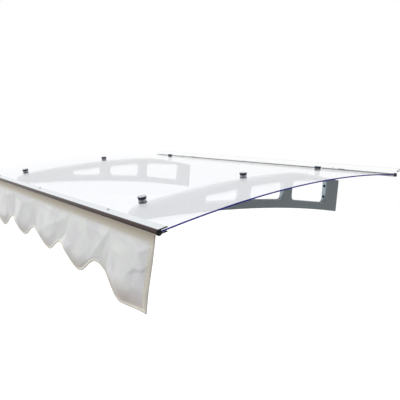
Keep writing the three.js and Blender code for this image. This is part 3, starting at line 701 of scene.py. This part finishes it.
def cloth_point(folds, x, depth, drop):
    """A point of the hanging cloth: tongues curl to the wall, waves and folds start below the slot."""
    share = depth / drop
    tongue = (1 - end_share(x)) * (1 - scallop_wave(x)) / 2
    curl = VALANCE_CURL * smoothstep(depth, drop - CURL_HEIGHT, drop) * tongue
    free = smoothstep(depth, SLOT_DEPTH, FREE_DEPTH)
    wave = FOLD_DEPTH * noise.noise(Vector((x / FOLD_WIDTH, depth / FOLD_LENGTH, 0)))
    taper = math.copysign(VALANCE_END_TAPER, x) * share * end_share(x)
    return HANGER + Vector((x - taper, curl + free * wave - fold_offset(folds, x, depth), -depth))


def loop_point(x, row):
    """A point of the top hem, which runs round the rod from the back of the cloth to its front."""
    angle = -math.pi / 2 + 2 * math.pi * (row + 1) / (LOOP_ROWS + 1)
    return HANGER + Vector((x, LOOP_RADIUS * math.cos(angle), LOOP_RADIUS * math.sin(angle)))


def row_depth(row, drop):
    """Depth of a row of the cloth: even in the top hem, even in the bottom hem and spread between them."""
    if row <= HEM_ROWS:
        return LOOP_RADIUS + (TOP_HEM - LOOP_RADIUS) * row / HEM_ROWS
    edge = drop - BOTTOM_HEM
    if row <= HEM_ROWS + BODY_ROWS:
        return TOP_HEM + (edge - TOP_HEM) * (row - HEM_ROWS) / BODY_ROWS
    return edge + BOTTOM_HEM * (row - HEM_ROWS - BODY_ROWS) / EDGE_ROWS


def hem_margin(x, depth, drop):
    """Distance of a point inside the nearest hem's inner line; negative outside the hems."""
    side = abs(x) - (VALANCE_HALF_WIDTH - SIDE_HEM)
    return max(TOP_HEM - depth, side, depth - (drop - BOTTOM_HEM))


def tube_shade(depth):
    """How much of the painted shadow under the front tube is left at a depth."""
    return 1 - smoothstep(depth, SHADE_START, SHADE_END)


def cloth_thickness(depth, drop, hem):
    """Single cloth, doubled in the hems and rolled into a round binding along the bottom edge."""
    flat = CLOTH_THICKNESS + (HEM_THICKNESS - CLOTH_THICKNESS) * hem
    inward = (drop - depth) / BOTTOM_HEM
    return max(flat, BINDING_THICKNESS * math.sqrt(max(0, 1 - (2 * inward - 1) ** 2)))


def add_point_values(mesh, name, values):
    attribute = mesh.attributes.new(name, "FLOAT", "POINT")
    attribute.data.foreach_set("value", values)


def hang_cloth(mesh, rows):
    """Hangs the flat grid's points from the rod; gives each one's flat place, finish and thickness."""
    folds = lay_folds()
    cut, hems, stitch_lines, shades, thicknesses = [], [], [], [], []
    for vertex in mesh.vertices:
        x = vertex.co.x * VALANCE_HALF_WIDTH
        row = round((1 - vertex.co.y) / 2 * rows) - LOOP_ROWS
        drop = cloth_drop(x)
        if row < 0:
            depth = row * ROW_ROUND_ROD
            vertex.co = loop_point(x, row + LOOP_ROWS)
        else:
            depth = row_depth(row, drop)
            vertex.co = cloth_point(folds, x, depth, drop)
        margin = hem_margin(x, depth, drop)
        hem = smoothstep(margin, -HEM_STEP, HEM_STEP)
        cut.append((x, -depth))
        hems.append(hem)
        stitch_lines.append(max(0, 1 - abs(margin - STITCH_INSET) / STITCH_WIDTH))
        shades.append(tube_shade(depth))
        thicknesses.append(cloth_thickness(depth, drop, hem))
    return cut, {"hem": hems, "stitch_line": stitch_lines, "shade": shades}, thicknesses


def make_valance():
    """The cloth, from a flat grid whose points are hung from the rod, thicker in its hems."""
    bpy.ops.object.select_all(action="DESELECT")
    rows = LOOP_ROWS + HEM_ROWS + BODY_ROWS + EDGE_ROWS
    bpy.ops.mesh.primitive_grid_add(x_subdivisions=CLOTH_COLUMNS, y_subdivisions=rows, size=2)
    cloth = start_piece("scalloped_valance")
    mesh = cloth.data
    cut, finish, thicknesses = hang_cloth(mesh, rows)
    mesh.uv_layers[0].name = "cloth"
    for loop in mesh.loops:
        mesh.uv_layers[0].data[loop.index].uv = cut[loop.vertex_index]
    for name, values in finish.items():
        add_point_values(mesh, name, values)
    thick = cloth.vertex_groups.new(name="thickness")
    for index, thickness in enumerate(thicknesses):
        thick.add([index], thickness / BINDING_THICKNESS, "REPLACE")
    apply_modifier(cloth, "SOLIDIFY", thickness=BINDING_THICKNESS, offset=0, vertex_group=thick.name)
    only(cloth)
    bpy.ops.object.shade_smooth()
    finish_piece(cloth, (CLOTH,), ("valance",))


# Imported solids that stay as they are, with their finish

KEPT_NODES = {
    "clamp_washer": BLACK_RUBBER,
    "clamp_pad": BLACK_RUBBER,
    "clamp_spacer": WHITE_RUBBER,
    "clamp_bolt": STEEL,
    "clamp_insert": BRASS,
    "rear_gasket": GREY_RUBBER,
    "wall_seal": WHITE_RUBBER,
    "valance_rod": STEEL,
}


def dress_kept_nodes():
    """Gives each kept solid the finish that is listed for the start of its name."""
    for name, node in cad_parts.items():
        for start, material in KEPT_NODES.items():
            if name.startswith(start):
                node.data.materials.clear()
                node.data.materials.append(material)


# Camera, floor and light

def place_camera():
    """The photograph's camera: turned by yaw, tipped down by pitch, and rolled."""
    ahead = Vector((-math.sin(CAMERA_YAW) * math.cos(CAMERA_PITCH),
                    math.cos(CAMERA_YAW) * math.cos(CAMERA_PITCH), -math.sin(CAMERA_PITCH)))
    right = Vector((math.cos(CAMERA_YAW), math.sin(CAMERA_YAW), 0))
    up = right.cross(ahead)
    rolled_right = math.cos(CAMERA_ROLL) * right + math.sin(CAMERA_ROLL) * up
    rolled_up = math.cos(CAMERA_ROLL) * up - math.sin(CAMERA_ROLL) * right
    data = bpy.data.cameras.new("photo_camera")
    data.lens = CAMERA_LENS
    data.sensor_width = CAMERA_SENSOR
    camera = bpy.data.objects.new("photo_camera", data)
    bpy.context.collection.objects.link(camera)
    turn = Matrix((rolled_right, rolled_up, -ahead)).transposed().to_4x4()
    camera.matrix_world = Matrix.Translation(CAMERA_PLACE) @ turn
    bpy.context.scene.camera = camera


def make_floor():
    bpy.ops.object.select_all(action="DESELECT")
    bpy.ops.mesh.primitive_plane_add(size=FLOOR_SIZE, location=(0, 0, FLOOR_HEIGHT))
    floor = start_piece("studio_floor")
    floor.data.materials.append(STUDIO_PAPER)
    floor.visible_glossy = False
    floor.visible_diffuse = False


def add_area_light(name, place_in_studio, size, power, mirrored=False):
    """A square soft light that faces the middle of the awning."""
    data = bpy.data.lights.new(name, "AREA")
    data.shape = "SQUARE"
    data.size = size
    data.energy = power
    light = bpy.data.objects.new(name, data)
    bpy.context.collection.objects.link(light)
    light.location = place_in_studio
    middle = (cad_low + cad_high) / 2
    light.rotation_euler = (middle - place_in_studio).to_track_quat("-Z", "Y").to_euler()
    light.visible_camera = False
    light.visible_glossy = mirrored
    return light


def light_arms(light):
    """Limits a light to the arms: it brightens the windows' rear walls and leaves the cloth as it is."""
    arms = bpy.data.collections.new("lit_arms")
    for side in SIDES:
        arms.objects.link(bpy.data.objects[f"moulded_arm_{side}"])
    light.light_linking.receiver_collection = arms


def light_studio():
    """White all round with a brown ground in the mirrors, and a soft fill for the matt surfaces."""
    world = bpy.data.worlds.new("studio")
    bpy.context.scene.world = world
    world.use_nodes = True
    tree = world.node_tree
    tree.nodes.clear()
    direction = add_node(tree, "ShaderNodeTexCoord").outputs["Generated"]
    way = add_node(tree, "ShaderNodeSeparateXYZ", {0: direction}).outputs
    ray = add_node(tree, "ShaderNodeLightPath").outputs
    shares = {}
    for name, (axis, start, end) in STUDIO_ZONES.items():
        zone = add_node(tree, "ShaderNodeMapRange", {"Value": way[axis], "From Min": start,
                                                     "From Max": end}, interpolation_type="SMOOTHSTEP")
        shares[name] = zone.outputs[0]
    mirrored = layered(tree, STUDIO_WALL, ((shares["ground"], STUDIO_GROUND),))
    soft = layered(tree, STUDIO_FILL, ((shares["wall"], STUDIO_WALL), (shares["ceiling"], STUDIO_CEILING)))
    colour = layered(tree, mirrored, ((ray["Is Diffuse Ray"], soft), (ray["Is Camera Ray"], STUDIO_WALL)))
    background = add_node(tree, "ShaderNodeBackground", {"Color": colour})
    add_node(tree, "ShaderNodeOutputWorld", {"Surface": background.outputs[0]})
    add_area_light(*TOP_LIGHT)
    add_area_light(*SIDE_LIGHT)
    add_area_light(*FRONT_LIGHT, mirrored=True)
    bpy.context.scene.view_settings.view_transform = "Standard"


place_camera()
make_floor()
light_studio()
make_roof_sheet()
make_arms()
make_rails()
make_clamp_caps()
make_rail_screws()
make_valance()
dress_kept_nodes()
light_arms(add_area_light(*ARM_LIGHT))
